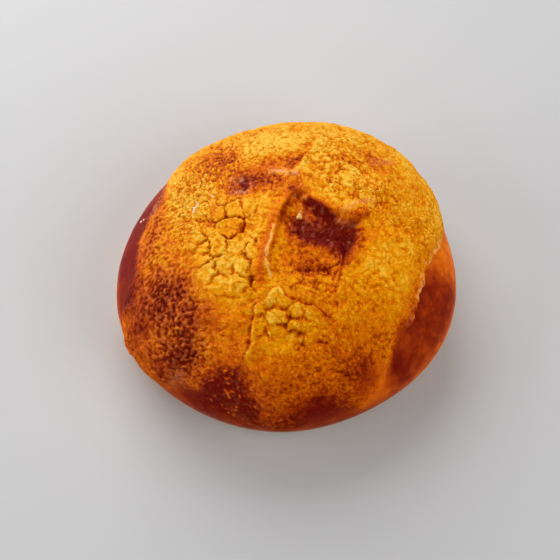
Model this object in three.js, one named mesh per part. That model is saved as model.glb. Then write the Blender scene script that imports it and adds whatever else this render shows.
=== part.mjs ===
// A round sweet bun: a soft dough body under a crumbly sponge crust, which is folded and cracked and leaves
// the dough bare along the left, the front and the right side. Millimetres, +Z up, the front towards -Y.
import * as THREE from 'three';
import { ImprovedNoise } from 'three/addons/math/ImprovedNoise.js';
import { mergeVertices } from 'three/addons/utils/BufferGeometryUtils.js';

// Dough body
const BUN_RADIUS = 63; // mean radius at the widest level
const BULGE_HEIGHT = 17; // level of the widest ring
const DOUGH_HEIGHT = 47; // top of the dough, under the crust
const FOOT_RADIUS = 50; // flat patch that the bun stands on
const DOUGH_SIDES = 72; // facets round the body
const SIDE_STEPS = 6; // rings from the foot to the widest level
const DOME_STEPS = 16; // rings from the widest level to the top
const DOME_RISE = DOUGH_HEIGHT - BULGE_HEIGHT;

// Uneven outline: lobes round the bun, how far each swells, and the direction of a crest in degrees
const OUTLINE_WAVES = [
  { lobes: 2, swell: 2.2, crest: 23 },
  { lobes: 3, swell: 1.0, crest: -42 },
  { lobes: 4, swell: 0.4, crest: -22 },
  { lobes: 5, swell: 0.5, crest: -17 },
];

// Sponge crust
const CRUST_THICKNESS = 4; // at the crown
const CRUST_EDGE_THICKNESS = 2; // just inside the lip
const CRUST_LEAST = 1.2; // under the deepest hollow
const CRUST_GAP = 0.3; // between the dough and the crust
const CRUST_RINGS = 30; // rings of facets from the crown to the lip
const CRUST_REACH = 84; // degrees from the crown down to the lip, where no dough shows
const LIP_WANDER = 3; // degrees that the lip wanders up and down
const LIP_WANDER_TURNS = 2.5; // how often it does so round the bun: higher is more ragged
const LIP_ROUNDING = 10; // power of the curve that rounds the lip: higher is squarer
const RELIEF_FADE = 8; // power of the curve that evens the relief out towards the lip

// Stretches where the lip draws up and the dough shows: direction, half width and lift, in degrees
const BARE_SIDES = [
  { toward: 171, halfWidth: 25, lift: 30 },
  { toward: -119, halfWidth: 17, lift: 22 },
  { toward: -76, halfWidth: 9, lift: 14 },
  { toward: -20, halfWidth: 33, lift: 36 },
];

// Swollen and sunken patches of the crust: middle in plan, length, width, turn in degrees, and rise
const PATCHES = [
  { at: [22, 26], length: 17, width: 13, turn: -30, rise: 1.8 },
  { at: [-22, -10], length: 15, width: 11, turn: 70, rise: 1.1 },
  { at: [0, -34], length: 14, width: 12, turn: 0, rise: 1.3 },
  { at: [37, -8], length: 16, width: 11, turn: 75, rise: 0.8 },
  { at: [-6, 43], length: 15, width: 9, turn: 10, rise: 0.8 },
  { at: [13.5, 5.5], length: 11, width: 6, turn: -32, rise: -2.6 },
  { at: [-17.4, 23.4], length: 6, width: 4, turn: 20, rise: -1.3 },
  { at: [6, -7], length: 11, width: 8, turn: 0, rise: -0.7 },
];

// Folds that stand up from the crust and cracks that run into it: plan route, half width and rise
const FOLDS = [
  { route: [[5, 21], [-1, 14], [-3, 6], [-5, 0], [-6.6, -6], [-5.4, -14]], halfWidth: 2.4, rise: 1.3 },
  { route: [[5, 21], [11, 16.5], [18, 13], [25, 11.5]], halfWidth: 3, rise: 1.2 },
  { route: [[-8, 29], [2, 29]], halfWidth: 2.4, rise: 0.8 },
];
const CRACKS = [
  { route: [[-7, -15], [-12, -26], [-13.6, -34], [-15.2, -42]], halfWidth: 2.2, rise: -1.4 },
  { route: [[-11, -24], [-4, -18.5], [3.5, -23.4], [14, -28]], halfWidth: 2, rise: -1.2 },
  { route: [[21, -3], [18.2, -15.6], [17, -19.4]], halfWidth: 2, rise: -1 },
  { route: [[3.5, -11.7], [11.8, -11.5], [19.7, -8]], halfWidth: 2, rise: -0.9 },
  { route: [[-22.3, 9.7], [-16.7, 4], [-11.5, 8.5]], halfWidth: 2, rise: -1 },
  { route: [[-25.2, 6], [-21.7, -2.2], [-13, -8.7]], halfWidth: 2, rise: -1.1 },
  { route: [[-17.2, -13.2], [-12, -18.7]], halfWidth: 2, rise: -1.1 },
  { route: [[-9.3, 32], [-0.7, 36], [13.5, 47]], halfWidth: 3, rise: -1 },
];

// Crumbly lumps all over the crust: size of a lump and its rise
const LUMPS = [
  { size: 8, rise: 0.7 },
  { size: 4, rise: 0.5 },
];

const noise = new ImprovedNoise();
const degrees = THREE.MathUtils.degToRad;

// Radius of the dough's widest ring in a direction
function outlineRadius(angle) {
  let radius = BUN_RADIUS;
  for (const { lobes, swell, crest } of OUTLINE_WAVES) {
    radius += swell * Math.cos(lobes * (angle - degrees(crest)));
  }
  return radius;
}

// Point of the dome in a direction, tilted down from the crown and lifted square off the surface
function domePoint(angle, tilt, lift) {
  const radius = outlineRadius(angle);
  const slope = new THREE.Vector2(DOME_RISE * Math.sin(tilt), radius * Math.cos(tilt)).setLength(lift);
  const reach = radius * Math.sin(tilt) + slope.x;
  const height = BULGE_HEIGHT + DOME_RISE * Math.cos(tilt) + slope.y;
  return new THREE.Vector3(reach * Math.cos(angle), reach * Math.sin(angle), height);
}

// Tilt of the crust's lip in a direction
function lipTilt(angle) {
  const spot = new THREE.Vector2(Math.cos(angle), Math.sin(angle)).multiplyScalar(LIP_WANDER_TURNS);
  let reach = CRUST_REACH + LIP_WANDER * noise.noise(spot.x, spot.y, 0);
  for (const { toward, halfWidth, lift } of BARE_SIDES) {
    const away = Math.acos(Math.cos(angle - degrees(toward))) / degrees(halfWidth);
    reach -= lift * Math.exp(-(away ** 4));
  }
  return degrees(reach);
}

// Rise of a patch at a plan point, as a soft oval mound or hollow
function patchRise(point, { at, length, width, turn, rise }) {
  const local = point.clone().sub(new THREE.Vector2(...at));
  local.rotateAround(new THREE.Vector2(), -degrees(turn));
  return rise * Math.exp(-((local.x / length) ** 2) - (local.y / width) ** 2);
}

// Rise of a fold or crack at a plan point, from the distance to the nearest stretch of its route
function routeRise(point, { route, halfWidth, rise }) {
  const place = new THREE.Vector3(point.x, point.y, 0);
  const nearest = new THREE.Vector3();
  let distance = Infinity;
  for (let i = 1; i < route.length; i++) {
    const stretch = new THREE.Line3(new THREE.Vector3(...route[i - 1], 0), new THREE.Vector3(...route[i], 0));
    stretch.closestPointToPoint(place, true, nearest);
    distance = Math.min(distance, nearest.distanceTo(place));
  }
  return rise * Math.exp(-((distance / halfWidth) ** 2));
}

// Height of the crust's relief over its even thickness, at a plan point
function crustRelief(point) {
  const patches = PATCHES.reduce((sum, patch) => sum + patchRise(point, patch), 0);
  const fold = Math.max(...FOLDS.map((route) => routeRise(point, route)));
  const crack = Math.min(...CRACKS.map((route) => routeRise(point, route)));
  const lumps = LUMPS.reduce((sum, { size, rise }) => sum + rise * noise.noise(point.x / size, point.y / size, 0), 0);
  return patches + fold + crack + lumps;
}

// Thickness of the crust at a plan point, where share runs from 0 at the crown to 1 at the lip
function crustThickness(share, point) {
  const even = THREE.MathUtils.lerp(CRUST_THICKNESS, CRUST_EDGE_THICKNESS, share ** 2);
  const relief = crustRelief(point) * (1 - share ** RELIEF_FADE);
  return Math.max(even + relief, CRUST_LEAST) * Math.sqrt(1 - share ** LIP_ROUNDING);
}

// Closed body turned from a profile that starts at the foot, then swollen to the uneven outline
function doughGeometry() {
  const quarter = Math.PI / 2;
  const profile = [new THREE.Vector2(0, 0)];
  for (let step = 0; step <= SIDE_STEPS; step++) {
    const turn = (quarter * step) / SIDE_STEPS;
    const reach = THREE.MathUtils.lerp(FOOT_RADIUS, BUN_RADIUS, Math.sin(turn));
    profile.push(new THREE.Vector2(reach, BULGE_HEIGHT * (1 - Math.cos(turn))));
  }
  for (let step = 1; step <= DOME_STEPS; step++) {
    const tilt = quarter * (1 - step / DOME_STEPS);
    profile.push(new THREE.Vector2(BUN_RADIUS * Math.sin(tilt), BULGE_HEIGHT + DOME_RISE * Math.cos(tilt)));
  }
  const geometry = new THREE.LatheGeometry(profile, DOUGH_SIDES);
  geometry.rotateX(quarter);
  const points = geometry.attributes.position;
  for (let i = 0; i < points.count; i++) {
    const angle = Math.atan2(points.getY(i), points.getX(i));
    const swell = outlineRadius(angle) / BUN_RADIUS;
    points.setXY(i, points.getX(i) * swell, points.getY(i) * swell);
  }
  geometry.computeVertexNormals();
  return geometry;
}

// Closed skin made from an octahedron: its upper half becomes the outer face, its lower half the inner face,
// and its equator the lip. Each ring's vertices are spread evenly round the bun.
function crustGeometry() {
  const octahedron = new THREE.OctahedronGeometry(1, CRUST_RINGS - 1);
  octahedron.deleteAttribute('normal');
  octahedron.deleteAttribute('uv');
  const geometry = mergeVertices(octahedron);
  const points = geometry.attributes.position;
  for (let i = 0; i < points.count; i++) {
    const [x, y, z] = [points.getX(i), points.getY(i), points.getZ(i)];
    const across = Math.abs(x) + Math.abs(y);
    const share = Math.round((CRUST_RINGS * across) / (across + Math.abs(z))) / CRUST_RINGS;
    const corner = share > 0 ? (Math.PI / 2) * (Math.abs(y) / across) : 0;
    const angle = Math.sign(y || 1) * (x < 0 ? Math.PI - corner : corner);
    const tilt = share * lipTilt(angle);
    const bare = domePoint(angle, tilt, CRUST_GAP);
    const thickness = z > 0 ? crustThickness(share, new THREE.Vector2(bare.x, bare.y)) : 0;
    points.setXYZ(i, ...domePoint(angle, tilt, CRUST_GAP + thickness));
  }
  geometry.computeVertexNormals();
  return geometry;
}

function doughBody() {
  const material = new THREE.MeshStandardMaterial({ color: 0x8f3a12, roughness: 0.5, metalness: 0 });
  const mesh = new THREE.Mesh(doughGeometry(), material);
  mesh.name = 'dough_body';
  return mesh;
}

function spongeCrust() {
  const material = new THREE.MeshStandardMaterial({ color: 0xe39a1c, roughness: 0.85, metalness: 0 });
  const mesh = new THREE.Mesh(crustGeometry(), material);
  mesh.name = 'sponge_crust';
  return mesh;
}

// The bun stands on the origin, at the middle of its outline
const bun = new THREE.Group();
bun.add(doughBody(), spongeCrust());
const middle = new THREE.Box3().setFromObject(bun).getCenter(new THREE.Vector3());
bun.position.set(-middle.x, -middle.y, 0);

export default bun;
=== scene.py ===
"""Dressed model of a round sweet bun with a crumbly sponge crust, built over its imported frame."""

import math
from collections import namedtuple

import bmesh
import bpy
import numpy as np
from bpy.props import FloatProperty, FloatVectorProperty, PointerProperty
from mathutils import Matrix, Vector, noise
from mathutils.bvhtree import BVHTree


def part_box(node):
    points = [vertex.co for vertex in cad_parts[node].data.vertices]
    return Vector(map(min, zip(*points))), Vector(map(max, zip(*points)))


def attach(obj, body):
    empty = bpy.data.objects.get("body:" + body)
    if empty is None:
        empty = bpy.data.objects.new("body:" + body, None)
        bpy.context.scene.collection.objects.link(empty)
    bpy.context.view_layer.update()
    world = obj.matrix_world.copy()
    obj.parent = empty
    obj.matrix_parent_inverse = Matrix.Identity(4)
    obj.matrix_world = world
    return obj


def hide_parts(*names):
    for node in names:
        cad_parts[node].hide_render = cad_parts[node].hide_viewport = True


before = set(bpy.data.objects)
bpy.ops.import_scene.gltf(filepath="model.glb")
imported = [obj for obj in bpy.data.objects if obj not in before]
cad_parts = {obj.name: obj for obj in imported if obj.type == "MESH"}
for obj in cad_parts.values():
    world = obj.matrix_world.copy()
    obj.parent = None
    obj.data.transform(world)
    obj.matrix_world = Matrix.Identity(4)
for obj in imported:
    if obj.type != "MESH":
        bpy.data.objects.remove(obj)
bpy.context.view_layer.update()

bl_info = {
    "name": "Sponge-Crusted Bun",
    "version": (1, 0, 0),
    "blender": (4, 5, 0),
    "location": "3D View > Sidebar > Bun",
    "description": "Builds a round sweet bun with a cracked sponge crust over its packed frame",
    "category": "Add Mesh",
}

MM = 0.001
DOUGH_LOW, DOUGH_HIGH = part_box("dough_body")

# Shapes are worked out in millimetres and degrees. Plan places have +X to the right and +Y to the back,
# and are measured from a point a little in front of the bun's middle.
PLAN_MIDDLE = (0.05, -1.0)
Wave = namedtuple("Wave", "lobes swell crest")
BareSide = namedtuple("BareSide", "toward half_width lift")
SkinSide = namedtuple("SkinSide", "toward half_width change")
Pattern = namedtuple("Pattern", "size amount seed")
Push = namedtuple("Push", "size reach seed")
Lamp = namedtuple("Lamp", "name power size azimuth elevation distance left_out")
Spot = namedtuple("Spot", "x y length width turn amount")
Route = namedtuple("Route", "points half_width rise")
Ledge = namedtuple("Ledge", "points drop_width back_width rise foot_tone")
Region = namedtuple("Region", "points soft_edge amount")
SugarGrain = namedtuple("SugarGrain", "x y length melt")

# Uneven outline of the dough, and the slow wander of the crust's lip
OUTLINE_WAVES = (Wave(2, 2.2, 23), Wave(3, 1.0, -42), Wave(4, 0.4, -22), Wave(5, 0.5, -17))
LIP_WAVES = (Wave(5, 1.2, 20), Wave(9, 0.8, 8), Wave(23, 0.5, 3), Wave(41, 0.4, 5), Wave(97, 0.3, 2))

# Stretches where the crust's lip draws up and the dough shows, the one where the lip is crisp, and the one
# where it doesn't run on under the skin
BARE_SIDES = (BareSide(168, 30, 34), BareSide(-119, 17, 22), BareSide(-76, 9, 14), BareSide(-19, 35, 30))
CRISP_SIDE = BareSide(-8, 24, 0)
OPEN_SIDE = BareSide(-20, 42, 0)

# Stretches where the bare skin is baked more, with a tone above zero, or less
SKIN_SIDES = (
    SkinSide(7, 14, -0.3),
    SkinSide(-17, 12, 0.06),
    SkinSide(-40, 5, -0.03),
    SkinSide(-45, 3, 0.1),
    SkinSide(-49, 6, -0.06),
    SkinSide(-60, 9, -0.38),
    SkinSide(-92, 9, -0.25),
    SkinSide(-122, 9, 0.12),
    SkinSide(-142, 16, -0.35),
    SkinSide(172, 25, 0.2),
)

# Swollen and sunken patches of the crust
PATCHES = (
    Spot(24, 27, 15, 12, -30, 0.9),
    Spot(-22, -10, 15, 11, 70, 1.1),
    Spot(37, -8, 16, 11, 75, 0.8),
    Spot(-6, 43, 15, 9, 10, 0.8),
    Spot(-17.4, 23.4, 6, 4, 20, -1.3),
    Spot(6, -7, 11, 8, 0, -0.7),
)

# The three-cornered pit in front of the peak, with its depth
PIT = Region(
    (
        (7, 21), (9, 18), (10.5, 15.5), (13.5, 13), (17, 10.5), (24, 9.5), (27, 9), (27.5, 6), (25, 2),
        (21, -4), (18.5, -0.5), (13.5, 0), (8.5, 1), (3.5, 2.5), (0, 4), (-1.5, 7), (-1.5, 11),
        (0.5, 15.5), (3.5, 20),
    ),
    4.0,
    -1.8,
)

# Folds that stand up from the crust
FOLDS = (
    Route(((13.1, 48.4), (11.1, 43.3), (8.3, 38.2), (6, 33), (3.7, 29)), 1.0, 0.9),
    Route(((-6.3, 29.3), (-2.2, 29.6), (1.9, 28.6), (3.7, 29)), 1.0, 0.8),
    Route(((3.7, 29), (4.5, 25), (5.2, 22)), 1.3, 0.5),
)

# Edge of the front lobe, from the right round its tip to the front, and the part left of the tip
LOBE_EDGE = (
    (17, -31), (12.4, -27.1), (9.2, -24.1), (6.3, -24.1), (1.7, -22.8), (-1.9, -20.2), (-3.3, -18.4),
    (-5.4, -19.1), (-6.8, -22), (-10.8, -24.8), (-12.2, -29.3), (-12.9, -37.8), (-15, -41.6), (-12.5, -44.3),
)
LOBE_RIM = LOBE_EDGE[5:]

# Ledges that rise slowly on the left of their route and drop on its right: the scarp over the pit, the ridge
# down the middle, the edge of the front lobe and the edge of the smooth right side. The last number of each
# is the painted shade that darkens its foot on the right.
LEDGES = (
    Ledge(
        (
            (4, 24), (6, 21.5), (9, 17.5), (11.5, 15.5), (17, 13), (20, 11.5), (24, 11), (27.5, 13),
            (31.5, 16.5),
        ),
        2.0, 8, 1.6, 0.05,
    ),
    Ledge(
        (
            (-5.4, -15.4), (-7.2, -8.6), (-6.2, -3.1), (-4.4, 3.2), (-3.3, 10.2), (-1.1, 15.7), (2.2, 19.8),
            (5.2, 22),
        ),
        0.7, 4.5, 1.5, 0.2,
    ),
    Ledge(LOBE_EDGE, 0.6, 8, 1.7, 0.42),
    Ledge(((21, -2), (19.5, -8), (18, -15.5), (17, -19.5), (15.5, -25)), 1.5, 12, 0.9, 0.12),
)

# Cracks that run into the crust: left of the middle, right of it and on the front lobe
CRACKS = (
    Route(((-17, 6.5), (-17, 3)), 0.8, -0.9),
    Route(((-13.3, -11.5), (-12.6, -13.7), (-12.9, -17.1), (-11.1, -19)), 0.6, -0.9),
    Route(((-34.2, 10.7), (-27.8, 9.3), (-26.3, 6.6)), 0.6, -0.8),
    Route(((21, -3), (19.7, -8), (18.2, -15.6), (17, -19.4)), 0.6, -0.8),
    Route(((3.5, -11.7), (8.5, -10.8), (11.8, -11.5), (16.5, -9.4), (19.7, -8)), 0.55, -0.7),
    Route(((11.4, -16.2), (9.2, -21.2), (8.5, -23.3)), 0.5, -0.6),
    Route(((-7.5, -25.5), (-3.5, -26), (0, -25.5), (1, -28.5), (2, -29.5), (5.5, -29), (8, -31)), 0.55, -0.9),
    Route(((3.5, -34), (6.5, -34)), 0.8, -0.8),
    Route(((2.5, -37.5), (6, -38)), 0.7, -0.7),
    Route(((10, -37), (13.5, -37.5)), 1.0, -0.3),
)

# The smooth band along the ridge down the middle
SMOOTH_BAND = Route(
    (
        (-9.2, -16), (-9.8, -9.6), (-8.6, -3.9), (-6.8, 1.6), (-5.1, 8.2), (-3.4, 13.7), (-0.5, 18.3),
        (3.5, 22),
    ),
    1.3,
    1.0,
)

# Middles of the plates that the crust is broken into: left of the middle, on the front lobe and on the
# right lobe
PLATE_MIDDLES = (
    (-21.5, 6), (-10, 5.5), (-18, -0.5), (-12.5, -3), (-25, -1.5), (-19.5, 14), (-14, 15.5), (-9, 15.5),
    (-22.5, -9.5), (-16.5, -9.5), (-24.5, -17), (-18.5, -17), (-29, -11), (-30.5, 8), (-11, -10),
    (-14, -22), (-30, -1.5), (-33.5, 3), (-31, -5.5), (-26.5, 13), (-35.5, 9), (-23, 19), (-21, -24.5),
    (-28.5, -22.5), (-8.5, -2.5), (-8.5, -17),
    (-3.5, -28), (3, -31), (8.5, -35), (-4.5, -33.5), (-10.5, -31.5), (-9, -38.5), (-1, -23), (7.5, -26),
    (-5.5, -22), (4, -27), (4, -36), (-1, -39), (10.5, -29), (4.5, -40.5), (-11.5, -25),
    (15.5, 19), (14.5, 33.5), (19, 30), (13, 27.5), (20, 23), (25.5, 26), (26, 18.5), (32, 23.5),
    (23.5, 32.5), (24, 14), (19, 35.5), (31.5, 30), (10, 35.5), (22, 19.5), (9, 21), (28, 35),
    (22.5, 38.5), (15.5, 41.5), (37, 28.5), (31.5, 17.5),
)

# Patches where the crust is broken into plates, and into more or fewer of the smaller flakes
PLATED = (Spot(-21, -1, 15, 22, 0, 1.0), Spot(-1, -31, 12, 10, 0, 0.75), Spot(22, 26, 16, 14, -30, 0.6))
CRACKLED = (
    Spot(23, 26, 17, 13, -30, 0.8),
    Spot(-33, 20, 13, 13, 0, 0.4),
    Spot(38, -5, 12, 20, 0, 0.1),
    Spot(10, -15, 11, 8, 0, 0.4),
    Spot(-5, 24, 13, 6, 0, 0.4),
    Spot(0, 44, 44, 16, 0, 0.25),
    Spot(-6.5, 44.5, 13, 7, 5, -0.2),
)

# Browned patches, with a tone above zero, and pale ones, below it: round the pit, in the middle and on the
# front lobe, along the front, on the left, at the back left, at the back, and on the right
BROWNED = (
    Spot(19.5, -3, 5, 7, 20, 0.27),
    Spot(9, 5, 8, 4.5, -15, 0.25),
    Spot(17, -2.5, 5, 3.5, 0, 0.2),
    Spot(23.5, -1.5, 5.5, 5, -20, 0.36),
    Spot(29.5, 3.5, 5, 4, 20, 0.2),
    Spot(3.5, 20, 4, 4, 0, 0.2),
    Spot(2.5, 16.5, 5, 5, 0, -0.22),
    Spot(6, -7, 12, 8, 0, 0.33),
    Spot(-19, 8, 12, 9, 0, 0.14),
    Spot(-20, -11, 9, 11, 0, -0.1),
    Spot(-1, -31, 12, 10, 0, -0.14),
    Spot(13, -27.5, 2.5, 2, -40, 0.2),
    Spot(12, -57.5, 8, 5, 0, 0.4),
    Spot(20, -56, 6, 5, 0, 0.12),
    Spot(0, -61, 8, 4, 0, 0.15),
    Spot(27, -45.5, 7, 6, 0, 0.3),
    Spot(31, -29, 13, 12, 0, 0.06),
    Spot(-30, -45.5, 11, 5, -35, 0.16),
    Spot(-42, -18, 9, 8, 0, 0.18),
    Spot(-44, -34, 8, 7, 0, -0.1),
    Spot(-27, -26, 8, 7, 0, 0.07),
    Spot(-42, 4, 12, 14, 0, 0.11),
    Spot(-40, -5, 12, 6, 0, 0.1),
    Spot(-38, 19, 8, 8, 0, -0.14),
    Spot(-17.5, 24, 6.5, 4.7, 10, 0.55),
    Spot(-11, 28, 9, 5.5, -20, 0.28),
    Spot(-22, 34, 9, 8, 0, 0.14),
    Spot(-28, 38, 14, 9, 35, 0.17),
    Spot(-24, 41, 9, 5, 25, 0.14),
    Spot(-30, 30, 24, 14, 40, -0.08),
    Spot(-3, 34, 10, 4, 15, 0.29),
    Spot(0, 24, 8, 4.5, 0, 0.22),
    Spot(-6.5, 44.5, 13, 6, 5, -0.08),
    Spot(8, 46, 30, 13, 0, -0.05),
    Spot(22, 27, 12, 12, 0, -0.14),
    Spot(33, 38, 8, 4, -35, 0.25),
    Spot(42, 8, 12, 26, 0, 0.08),
    Spot(37, -9, 8, 11, 0, -0.03),
)

# Larger browned parts: the dark left, the dark front left and the pit
DARK_LEFT = Region(
    (
        (-59, -4), (-46, -7), (-37, -11), (-30, -24), (-31, -35), (-34, -41), (-38, -45), (-44, -42),
        (-51, -34), (-57, -24), (-61, -14),
    ),
    12.0,
    0.35,
)
DARK_FRONT = Region(
    ((-29, -47.5), (-17, -43), (-13, -49.5), (-12, -57), (-14, -60), (-22.5, -60), (-31, -57), (-34, -52)),
    7.0,
    0.52,
)
BROWNED_REGIONS = (DARK_LEFT, DARK_FRONT, Region(PIT.points, 4.0, 0.4))

# Streaks of darker tone, above zero, or paler: down the scarp, partly browning and partly painted shadow,
# along the pit's front, right of the pit, below it, on the smooth band, left of the back fold, a painted
# highlight on the ridge's lip, under the scarp, a painted highlight on the front lobe's rim, along the left
# lip, round the front left and down the pit's left side
STREAKS_OF_TONE_AND_LIGHT = (
    Route(((8.5, 16), (11.5, 13), (15, 9.5), (18.5, 4.5), (20.5, 0.5)), 2.2, 0.36),
    Route(((1.5, 3.5), (7.5, 1.5), (12.5, 1), (17.5, 2)), 3.6, 0.34),
    Route(((20, 6), (24, 5)), 2.5, 0.16),
    Route(((19.5, -1), (20.5, -5), (21, -9)), 1.4, 0.15),
    Route(SMOOTH_BAND.points, 2.2, 0.34),
    Route(((9.5, 46), (5, 37), (1.5, 31)), 2.2, 0.2),
    Route(((-6.2, -13), (-7.6, -8.6), (-6.9, -3.1), (-5.2, 3), (-4.6, 5)), 0.45, -0.3),
    Route(((12, 14), (17, 11.5), (23, 10), (28, 12)), 2.5, 0.26),
    Route(LOBE_RIM, 0.9, -0.22),
    Route(
        ((-48, 23.5), (-48, 17.5), (-48.5, 12.5), (-50, 7.5), (-52, 2.5), (-55, -2), (-60, -15)), 4.0, 0.4
    ),
    Route(((-61, -17), (-59.5, -26), (-54, -35.5), (-45, -44.5)), 6.0, 0.12),
    Route(((-2.5, 9), (-0.5, 14), (2, 18)), 1.8, 0.06),
)

# Pinkish pale edges, partly dry crust and partly painted highlight: on the back fold, behind and in front of
# the small pit at the back left, on the ridge's lip, on the scarp, right of the pit, at the back right, at
# the front left and on the left rim
DRY_AND_HIGHLIT_EDGES = (
    Route(((-6, 30), (-1, 29.5), (2.5, 29), (3.5, 27.5)), 1.1, 0.95),
    Route(((-21, 27.5), (-17, 27.5)), 0.8, 0.75),
    Route(((-20, 22), (-15, 21)), 0.8, 0.55),
    Route(((-6, -13.5), (-7, -10.5), (-7.5, -8), (-7.5, -5), (-6.5, -1.5), (-5.5, 2), (-4.5, 5)), 0.5, 0.7),
    Route(((20, 12), (24, 15), (27.5, 17), (31.5, 18.5)), 1.0, 0.35),
    Route(((19, 8.5), (22, 8), (25.5, 8)), 0.9, 0.22),
    Route(((33.5, 37.5), (38.5, 39.5)), 1.5, 0.4),
    Route(((-41.5, -45), (-37, -45.5)), 1.8, 0.2),
    Route(((-47, 32), (-49.5, 25), (-50.5, 18)), 1.6, 0.3),
)

# Patches at the front where the crust has melted into a smooth skin
SMOOTHED = (Spot(32, -49, 9, 7, 35, 1.0), Spot(-23, -53, 12, 7, -20, 0.9), Spot(13, -59, 9, 6, 0, 0.9))

# Patches where the crumb is coarse, with an amount above zero, or fine
CRUMBLY = (
    Spot(-40, 14, 14, 22, -20, 1.0),
    Spot(-24, 40, 20, 12, 30, 1.0),
    Spot(20, 45, 20, 10, -20, 0.6),
    Spot(25, -38, 20, 16, 20, 0.25),
    Spot(22, 26, 16, 14, -30, -0.35),
    Spot(-6.5, 44.5, 14, 8, 5, 0.6),
    Spot(46, 16, 12, 15, 0, 0.4),
    Spot(37, -10, 13, 20, 0, -0.5),
)

# Patches where the browned crumb is coarse and pitted, and those that are glossy with melted sugar
PITTED = (
    Spot(-41, -22, 15, 21, 10, 1.0),
    Spot(-35, -40, 12, 9, -20, 0.6),
    Spot(-15, -53, 10, 10, 0, 0.5),
    Spot(-50, 9, 6, 17, 0, 0.8),
)
GLOSSY = (Spot(12, 6, 11, 6, -28, 1.0), Spot(-17.5, 24, 5, 4, 10, 0.8))

# Grains of coarse sugar on the crust: plan place, length, and how far the grain has melted to caramel
SUGAR_GRAINS = (
    SugarGrain(-34.5, 14.5, 1.0, 0),
    SugarGrain(-34, 15.5, 1.5, 0.1),
    SugarGrain(-33.5, 16.5, 1.2, 0),
    SugarGrain(-34.5, 16.5, 0.8, 0.15),
    SugarGrain(-33, 17.5, 1.1, 0.1),
    SugarGrain(-33.5, 18.5, 0.8, 0.2),
    SugarGrain(-27.5, 20.5, 1.0, 0.2),
    SugarGrain(-28, 21.5, 0.8, 0.3),
    SugarGrain(-55.5, 18.5, 1.4, 0.1),
    SugarGrain(-54.5, 19, 0.9, 0.15),
    SugarGrain(4.5, 10.5, 3.0, 0.6),
    SugarGrain(5, 12, 1.6, 0.75),
)

# Soft patterns, with the size of a swelling in millimetres: on the skin, and in the crust's lumps, beads,
# pores and tones, its ragged edges and its cracks
SKIN_SWELLINGS = (Pattern(16, 1, 21), Pattern(6, 0.4, 22))
SKIN_MOTTLE = (Pattern(10, 0.06, 23),)
BROAD_LUMPS = (Pattern(9, 0.45, 4),)
SMALL_LUMPS = (Pattern(4.2, 0.4, 12), Pattern(2.3, 0.35, 15))
WRINKLES = (Pattern(2, 1, 50), Pattern(1, 0.6, 51))
BEADS = (Pattern(1.15, 1, 6),)
PORES = (Pattern(1.5, 1, 16),)
PORE_DRIFT = (Pattern(9, 0.5, 17),)
STUCK_CRUMBS = (Pattern(1.3, 1, 18),)
MOTTLE = (Pattern(13, 0.08, 9), Pattern(4, 0.065, 10))
BROWN_RAGS = (Pattern(2.6, 0.3, 11),)
FOLD_RAGS = (Pattern(2.2, 0.8, 5),)
LIP_RAGS = (Pattern(1.7, 3, 13),)
DRY_RAGS = (Pattern(1.1, 2.5, 14),)
PLATE_BREAKS = (Pattern(6, 2.2, 33),)
PLATE_GAPES = (Pattern(4, 0.7, 34),)
FLAKE_BREAKS = (Pattern(4, 1.6, 43),)

# Pushes that make plan places ragged, by the size of a swerve and its reach in millimetres
BROAD_PUSHES = (Push(6, 1, 1),)
FINE_PUSHES = (Push(1.6, 0.4, 2),)
RAGGED_PUSHES = (Push(9, 3, 7), Push(2.4, 1.4, 8))
PLATE_PUSHES = (Push(4, 1.6, 30), Push(1.7, 0.9, 31), Push(0.9, 0.4, 32))
PLATE_SEED, FLAKE_SEED, CRUMB_SEED = 30, 40, 60
SEED_SHIFT = Vector((17.3, -9.1, 5.7))  # sets the patterns of two seeds apart

# Soft square lights: setting of the power, size in metres, direction round from the back and up in degrees,
# distance in metres, and the rays that the light leaves out
LAMPS = (
    Lamp("window_light", "key_power", 0.9, -18, 36, 1.0, "visible_glossy"),
    Lamp("left_light", "left_power", 0.7, -96, 18, 0.9, "visible_glossy"),
    Lamp("window_glare", "glare_power", 0.8, -30, 10, 1.0, "visible_diffuse"),
    Lamp("front_light", "fill_power", 1.0, 118, 36, 1.2, "visible_glossy"),
    Lamp("side_glare", "side_power", 0.5, -78, 14, 0.9, "visible_diffuse"),
    Lamp("right_glare", "right_power", 0.8, 55, 15, 1.0, "visible_diffuse"),
)
SKY_COLOUR = (0.95, 0.97, 1.0, 1)

# How the ball becomes dough and crust, and how the crust ends at its lip
FOOT_FALL = 0.33  # share of the way from the widest ring to under the middle where the flat foot starts
DOUGH_SPLITS = 7  # splits of the ball that the dough is shaped from
CRUST_SPLITS = 5  # splits of the ball that the crust is shaped from
CRUST_CUTS = 7  # further cuts across each edge of the crust's outer face
SOFT_TAPER = 0.22  # share of the way to the lip over which a soft edge thins out
CRISP_TAPER = 0.03  # the same at a crisp lip
CRISP_THINNING = 0.2  # share of the way over which the crust gets thinner towards a crisp lip
CRISP_STEP = 0.45  # share of the thickness left there
HIDDEN_LIP = 15  # degrees that a soft lip runs on under the dough's skin
CLOSING = 0.015  # share of the way to the lip over which the outer and inner face close
INNER_SINK = 0.6  # millimetres that the inner face lies under the lip
THIN_CRUMB = 0.6  # share of the crumb's height that is left where the crust thins out
SLACK = 1e-4  # room for rounding at the ball's equator
LEDGE_FADE = 6  # millimetres over which a ledge fades in from its ends
# The dark foot of a ledge is painted shade
FOOT_WIDTH = 0.6  # half width of the dark foot of a ledge
UNDERSIDE = 0.01  # highest level that still counts as underside

# Numbers that each vertex of the crust carries for its material
CRUST_LAYERS = ("tone", "swing", "crackle", "porous", "gloss", "pitted", "blush")

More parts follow.
